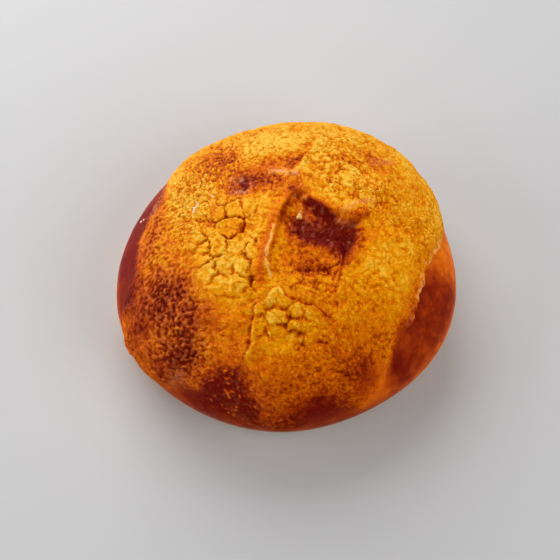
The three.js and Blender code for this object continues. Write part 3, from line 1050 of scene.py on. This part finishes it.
class CrustRelief:
    """Heights in millimetres and tones of the crust's outer face at points on it, the tones partly painted
    shade and highlight.
    """

    def __init__(self, dough, crust, places, along, body):
        self.places = places
        wide = wander(places, BROAD_PUSHES)
        self.broad_plan = wide[:, :2] - PLAN_MIDDLE
        self.plan = wander(wide, FINE_PUSHES)[:, :2] - PLAN_MIDDLE
        self.ragged_plan = wander(places, RAGGED_PUSHES)[:, :2] - PLAN_MIDDLE
        self.band = route_rise(SMOOTH_BAND, self.broad_plan)
        self.pitted = np.clip(spots(PITTED, self.broad_plan, power=3), 0, 1)
        self.smooth = np.clip(spots(SMOOTHED, self.broad_plan, power=4) + BAND_SMOOTHNESS * self.band, 0, 1)
        self.crumbly = np.clip(spots(CRUMBLY, self.broad_plan, power=4), -1, 1)
        self.melted = region_share(PIT, self.broad_plan)
        self.wrinkle = self.soft(WRINKLES)
        self.bead = self.soft(BEADS)
        self.break_up(crust)
        self.raise_forms()
        self.crumble(crust)
        self.bake()
        self.finish_lip(dough, along, body)

    def soft(self, patterns):
        """Sum of soft patterns on the crust."""
        return patterned(patterns, self.places)

    def break_up(self, crust):
        """Plates and smaller flakes, and the gaps between them."""
        self.plated = np.clip(spots(PLATED, self.plan, power=4) - self.band, 0, 1)
        flaked = LEAST_FLAKED + spots(CRACKLED, self.plan, power=4) - self.band - PLATE_CALM * self.plated
        self.crackled = np.clip(flaked, 0, 1)
        kept = smooth_step(KEPT_CRACKS + self.soft(PLATE_BREAKS))
        gape = PLATE_GAPE * (1 + self.soft(PLATE_GAPES))
        border, level = broken_plates(self.places)
        plates, plate_gaps = broken_relief(border, level, crust.plate_depth / MM, gape, kept)
        # Painted highlight along the rim of each plate
        self.rim_highlight = self.plated * np.exp(-(((border - PLATE_RIM) / PLATE_RIM_WIDTH) ** 2))
        kept = smooth_step(KEPT_CRACKS + self.soft(FLAKE_BREAKS))
        border, level = broken_flakes(self.places, crust.flake_size / MM)
        flakes, flake_gaps = broken_relief(border, level, crust.flake_depth / MM, FLAKE_GAPE, kept)
        self.broken = self.plated * plates + FLAKE_RELIEF * self.crackled * flakes
        self.gaps = np.maximum(self.plated * plate_gaps, FLAKE_GAPS * self.crackled * flake_gaps)

    def raise_forms(self):
        """Patches, pit, folds, ledges, cracks and lumps, with the broken pieces on them."""
        self.crack = np.min([route_rise(route, self.plan) for route in CRACKS], axis=0)
        fold = np.max([route_rise(route, self.broad_plan) for route in FOLDS], axis=0)
        self.fold = fold * (1 + self.soft(FOLD_RAGS))
        ledges, feet = zip(*[ledge_rise(ledge, self.plan) for ledge in LEDGES])
        # Painted shade along the ledges' feet, which also cuts a shallow groove into the height
        self.foot = np.max(feet, axis=0)
        steps = np.max(ledges, axis=0) - self.foot + self.crack
        sunken = self.melted * (PIT.amount + WRINKLE_RISE * self.wrinkle)
        lumps = self.soft(BROAD_LUMPS) + (1 - self.smooth) * self.soft(SMALL_LUMPS)
        self.broad = spots(PATCHES, self.broad_plan) + sunken + self.fold + steps + lumps + self.broken

    def crumble(self, crust):
        """Crumbs and pores, beads where the crust is pitted, and crumbs stuck on the dark front left."""
        firm = 1 - self.pitted
        texture = LEAST_TEXTURE + PLATE_TEXTURE * self.plated + COARSE_TEXTURE * self.crumbly
        texture = np.clip(texture, 0, MOST_TEXTURE) * (1 - SMOOTHED_TEXTURE * self.smooth)
        self.crumb = firm * (crumbs(self.places, crust.crumb_size / MM) - CRUMB_LEVEL) * texture
        openness = patterned(PORES, self.places * PORE_STRETCH) + self.soft(PORE_DRIFT)
        opened = ramp(openness + COARSE_PORES * self.crumbly, *PORE_RAMP)
        self.opened = firm * (1 - SMOOTHED_PORES * self.smooth) * opened
        self.beaded = self.pitted * (self.bead - ramp(-self.bead, *BEAD_PORE_RAMP))
        stuck = ramp(self.soft(STUCK_CRUMBS), *STUCK_RAMP)
        self.stuck = region_share(DARK_FRONT, self.ragged_plan) * stuck
        fine = self.crumb - PORE_DEPTH * self.opened + BEAD_RISE * self.beaded + STUCK_RISE * self.stuck
        self.fine = crust.crumb_rise / MM * fine

    def bake(self):
        """How far the crust is baked, with painted shade and highlights, and where its edges are dry,
        glinting or glossy.
        """
        regions = sum(region.amount * region_share(region, self.ragged_plan) for region in BROWNED_REGIONS)
        browned = spots(BROWNED, self.plan, power=2.6) + regions
        browned = browned * (1 + self.soft(BROWN_RAGS))
        # Streaks of tone, with painted highlights on the ridge's lip and the lobe's rim and painted shadow
        # down the scarp
        streaks_of_tone_and_light = sum(route_rise(route, self.plan) for route in STREAKS_OF_TONE_AND_LIGHT)
        # Paler where the crumb is coarse: painted light that offsets the crumbs' own shade
        mottle = self.soft(MOTTLE) - COARSE_LIGHT_OFFSET * self.crumbly
        # Painted shade in gaps, cracks and ledge feet, and painted highlight on plate rims and fold crests
        shade_and_highlight = GAP_SHADE * self.gaps - CRACK_SHADE * self.crack + self.foot
        shade_and_highlight = np.clip(shade_and_highlight - RIM_HIGHLIGHT * self.rim_highlight - FOLD_HIGHLIGHT * self.fold, *SHADE_AND_HIGHLIGHT_RANGE)
        # Darker towards the front: partly browning, partly painted shade
        forward = -self.places[:, 1]
        front = FRONT_BROWNING_AND_SHADE * ramp(forward, *FRONT_RAMP) + FRONT_FOOT_BROWNING_AND_SHADE * ramp(forward, *FRONT_FOOT_RAMP)
        # Darker pores are painted shade; paler crumb and bead tops are partly their own colour and partly
        # painted highlight
        grain = PORE_SHADE * self.opened - CRUMB_PALING_AND_HIGHLIGHT * self.crumb - BEAD_PALING_AND_HIGHLIGHT * self.beaded
        grain = grain - WRINKLE_PALING * self.melted * self.wrinkle
        tone = BASE_TONE + browned + streaks_of_tone_and_light + mottle + shade_and_highlight + front + grain
        self.tone = np.clip(tone, 0, DARKEST)
        # Pale edges, partly dry crust and partly painted highlight, and painted glints in the pit and on the
        # beads
        edges = sum(route_rise(route, self.plan) for route in DRY_AND_HIGHLIT_EDGES)
        dry = edges * smooth_step(DRY_SHARE + self.soft(DRY_RAGS))
        glints = WRINKLE_GLINT * self.melted * ramp(self.wrinkle, *WRINKLE_GLINT_RAMP)
        self.blush = dry + glints + BEAD_GLINT * self.pitted * ramp(self.bead, *BEAD_GLINT_RAMP)
        self.gloss = np.clip(spots(GLOSSY, self.plan, power=3), 0, 1)

    def finish_lip(self, dough, along, body):
        """Pale flakes on the crisp lip, partly dry and partly painted highlight, and the skin that takes over
        where a soft lip thins out.
        """
        crispness = nearness(np.arctan2(self.places[:, 1], self.places[:, 0]), CRISP_SIDE)
        ragged = smooth_step(FLAKED_LIP + self.soft(LIP_RAGS))
        flaked = crispness**2 * ramp(along, *LIP_FLAKE_RAMP) * ragged
        lip = LIP_TONE * (crispness * ramp(along, *LIP_RAMP) - flaked)
        thin = (1 - crispness) * smooth_step(THIN_START - THIN_FALL * body)
        skin = skin_tone(dough, self.places)
        self.tone = self.tone + (skin - self.tone) * thin + lip - STUCK_PALING * self.stuck
        self.blush = np.clip(self.blush + FLAKE_BLUSH_AND_HIGHLIGHT * flaked, 0, 1)
        swing = SWING + PITTED_SWING * self.pitted + COARSE_SWING * self.crumbly
        self.swing = swing * (1 - CALMED_SWING * thin) * (1 - CALMED_SWING * self.smooth)
        loose = (1 - self.pitted) * (1 - thin) * (1 - self.smooth)
        self.porous = (POROUS + COARSE_POROUS * self.crumbly) * loose
        self.crackle = (LEAST_CRACKLE + (1 - LEAST_CRACKLE) * self.crackled) * loose


def build_dough(context):
    """The domed dough body, smooth and a little uneven, on a flat underside."""
    dough = context.scene.bun_dough
    dome = Dome(dough)
    bm = bmesh.new()
    bmesh.ops.create_icosphere(bm, subdivisions=DOUGH_SPLITS, radius=1)
    polar, angle = directions(bm)
    upper = (polar < math.pi / 2)[:, None]
    tilt = np.minimum(polar, math.pi / 2)
    lower = dome.lower_points(angle, polar / (math.pi / 2) - 1)
    even = np.where(upper, dome.points(angle, tilt, 0), lower)
    swell = dough.skin_rise / MM * patterned(SKIN_SWELLINGS, even)
    points = np.where(upper, dome.points(angle, tilt, swell), even)
    under = even[:, 2] < UNDERSIDE
    waist = WAIST_PALING * ramp(dough.bulge_height / MM - even[:, 2], *WAIST_RAMP)
    layers = {
        "tone": np.where(under, dough.under_tone, skin_tone(dough, even)),
        "waist": np.where(under, 0, waist),
    }
    place(bm, points + dome.shift())
    piece = add_piece(context, "dough_body_skin", bm, dough_skin(context.scene.bun_colours), layers)
    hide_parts("dough_body")
    return piece


def build_crust(context):
    """The sponge crust: a closed skin whose outer face carries the folds, cracks, plates and crumbs."""
    crust = context.scene.bun_crust
    dough = context.scene.bun_dough
    dome = Dome(dough)
    bm = bmesh.new()
    bmesh.ops.create_icosphere(bm, subdivisions=CRUST_SPLITS, radius=1)
    outer_edges = [e for e in bm.edges if min(v.co.z for v in e.verts) > -SLACK]
    bmesh.ops.subdivide_edges(bm, edges=outer_edges, cuts=CRUST_CUTS, use_grid_fill=True)
    bmesh.ops.triangulate(bm, faces=[f for f in bm.faces if len(f.verts) > 3])
    polar, angle = directions(bm)
    outer = polar < math.pi / 2 + SLACK
    along = np.where(outer, polar, math.pi - polar) / (math.pi / 2)
    along = np.minimum(along, 1)
    tilt = along * lip_tilt(crust, angle)
    sink = crust.sink / MM
    body = lip_body(angle, along)
    even = crust.thickness / MM + (crust.edge_thickness - crust.thickness) / MM * along**2
    places = dome.points(angle, tilt, even * body) + dome.shift()
    relief = CrustRelief(dough, crust, places, along, body)
    closing = smooth_step((1 - along) / CLOSING)
    face = (even + relief.broad) * body + relief.fine * (THIN_CRUMB + (1 - THIN_CRUMB) * body)
    lift = np.where(outer, (face + sink) * closing - sink, -sink - INNER_SINK * closing)
    place(bm, dome.points(angle, tilt, lift) + dome.shift())
    layers = {name: getattr(relief, name) for name in CRUST_LAYERS}
    piece = add_piece(context, "sponge_crust_crumb", bm, crust_sponge(context.scene.bun_colours), layers)
    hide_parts("sponge_crust")
    return piece


def surface_below(context, pieces, x, y):
    """Highest point of the pieces at a plan place, and the surface's normal there."""
    depsgraph = context.evaluated_depsgraph_get()
    trees = [BVHTree.FromObject(piece, depsgraph) for piece in pieces]
    hits = [tree.ray_cast(Vector((x, y, 1)), Vector((0, 0, -1))) for tree in trees]
    return max((hit[:2] for hit in hits if hit[0]), key=lambda hit: hit[0].z)


def build_sugar(context, carriers):
    """Grains of melted sugar, each set on the bun below its plan place."""
    bm = bmesh.new()
    melt = []
    for grain in SUGAR_GRAINS:
        spot = Vector((grain.x + PLAN_MIDDLE[0], grain.y + PLAN_MIDDLE[1])) * MM
        found, normal = surface_below(context, carriers, spot.x, spot.y)
        size, shift = grain.length * MM, Vector((grain.x, grain.y, 0))
        made = bmesh.ops.create_icosphere(bm, subdivisions=3, radius=size / 2)["verts"]
        for vertex in made:
            vertex.co *= 1 + SUGAR_RAGS * noise.noise(vertex.co / size * SUGAR_TURNS + shift)
        bmesh.ops.scale(bm, vec=SUGAR_SHAPE, verts=made)
        bmesh.ops.rotate(bm, matrix=normal.to_track_quat("Z", "Y").to_matrix(), verts=made)
        bmesh.ops.translate(bm, vec=found, verts=made)
        melt += [grain.melt] * len(made)
    piece = add_piece(context, "sugar_grains", bm, sugar_glass(), {"melt": melt})
    return piece


def add_light(context, lamp, power):
    """A soft square light that looks at the bun."""
    data = bpy.data.lights.new(lamp.name, "AREA")
    data.energy = power
    data.size = lamp.size
    light = bpy.data.objects.new(lamp.name, data)
    turn, climb = math.radians(lamp.azimuth), math.radians(lamp.elevation)
    away = Vector((math.sin(turn) * math.cos(climb), math.cos(turn) * math.cos(climb), math.sin(climb)))
    light.location = away * lamp.distance
    light.rotation_euler = away.to_track_quat("Z", "Y").to_euler()
    setattr(light, lamp.left_out, False)
    context.scene.collection.objects.link(light)


def build_stage(context):
    """Pale floor, soft lights and the camera."""
    stage = context.scene.bun_stage
    bm = bmesh.new()
    bmesh.ops.create_grid(bm, x_segments=1, y_segments=1, size=4)
    mesh = bpy.data.meshes.new("floor")
    bm.to_mesh(mesh)
    bm.free()
    material, tree, shader = new_material("pale_floor")
    shader.inputs["Base Color"].default_value = (*stage.floor_colour, 1)
    shader.inputs["Roughness"].default_value = 0.7
    mesh.materials.append(material)
    floor = bpy.data.objects.new("floor", mesh)
    context.scene.collection.objects.link(floor)

    for lamp in LAMPS:
        add_light(context, lamp, getattr(stage, lamp.power))
    world = context.scene.world or bpy.data.worlds.new("even_light")
    context.scene.world = world
    world.use_nodes = True
    background = world.node_tree.nodes["Background"]
    background.inputs["Color"].default_value = SKY_COLOUR
    background.inputs["Strength"].default_value = stage.sky_strength
    context.scene.view_settings.view_transform = "Standard"

    camera_data = bpy.data.cameras.new("camera")
    camera_data.lens = stage.lens
    camera = bpy.data.objects.new("camera", camera_data)
    tilt = math.pi / 2 - stage.elevation
    camera.rotation_euler = (tilt, 0, 0)
    turn = camera.rotation_euler.to_matrix()
    middle = Vector((0, 0, context.scene.bun_dough.bulge_height))
    camera.location = middle + turn @ Vector((-stage.aside, -stage.above, stage.distance))
    context.scene.collection.objects.link(camera)
    context.scene.camera = camera


class BUN_OT_dough_body(bpy.types.Operator):
    """Model the dough body"""

    bl_idname = "bun.dough_body"
    bl_label = "Dough Body"

    def execute(self, context):
        build_dough(context)
        return {"FINISHED"}


class BUN_OT_sponge_crust(bpy.types.Operator):
    """Model the sponge crust and the sugar grains on it"""

    bl_idname = "bun.sponge_crust"
    bl_label = "Sponge Crust"

    def execute(self, context):
        build_sugar(context, (build_crust(context), context.scene.objects["dough_body_skin"]))
        return {"FINISHED"}


class BUN_OT_stage(bpy.types.Operator):
    """Set up the floor, the lights and the camera"""

    bl_idname = "bun.stage"
    bl_label = "Stage"

    def execute(self, context):
        build_stage(context)
        return {"FINISHED"}


OPERATORS = (BUN_OT_dough_body, BUN_OT_sponge_crust, BUN_OT_stage)


class BUN_PT_sidebar(bpy.types.Panel):
    """Operators of the bun in the sidebar"""

    bl_idname = "BUN_PT_sidebar"
    bl_label = "Sponge-Crusted Bun"
    bl_space_type = "VIEW_3D"
    bl_region_type = "UI"
    bl_category = "Bun"

    def draw(self, context):
        for operator in OPERATORS:
            self.layout.operator(operator.bl_idname)


GROUPS = {
    "bun_dough": DoughSettings,
    "bun_crust": CrustSettings,
    "bun_colours": BakedColours,
    "bun_stage": StageSettings,
}
CLASSES = (*GROUPS.values(), *OPERATORS, BUN_PT_sidebar)


def register():
    """Registers the classes and the scene's settings."""
    for cls in CLASSES:
        bpy.utils.register_class(cls)
    for name, group in GROUPS.items():
        setattr(bpy.types.Scene, name, PointerProperty(type=group))


def unregister():
    """Removes what register added."""
    for name in GROUPS:
        delattr(bpy.types.Scene, name)
    for cls in reversed(CLASSES):
        bpy.utils.unregister_class(cls)


def main():
    """Builds every piece and the stage."""
    register()
    bpy.ops.bun.dough_body()
    bpy.ops.bun.sponge_crust()
    bpy.ops.bun.stage()


if __name__ == "__main__":
    main()
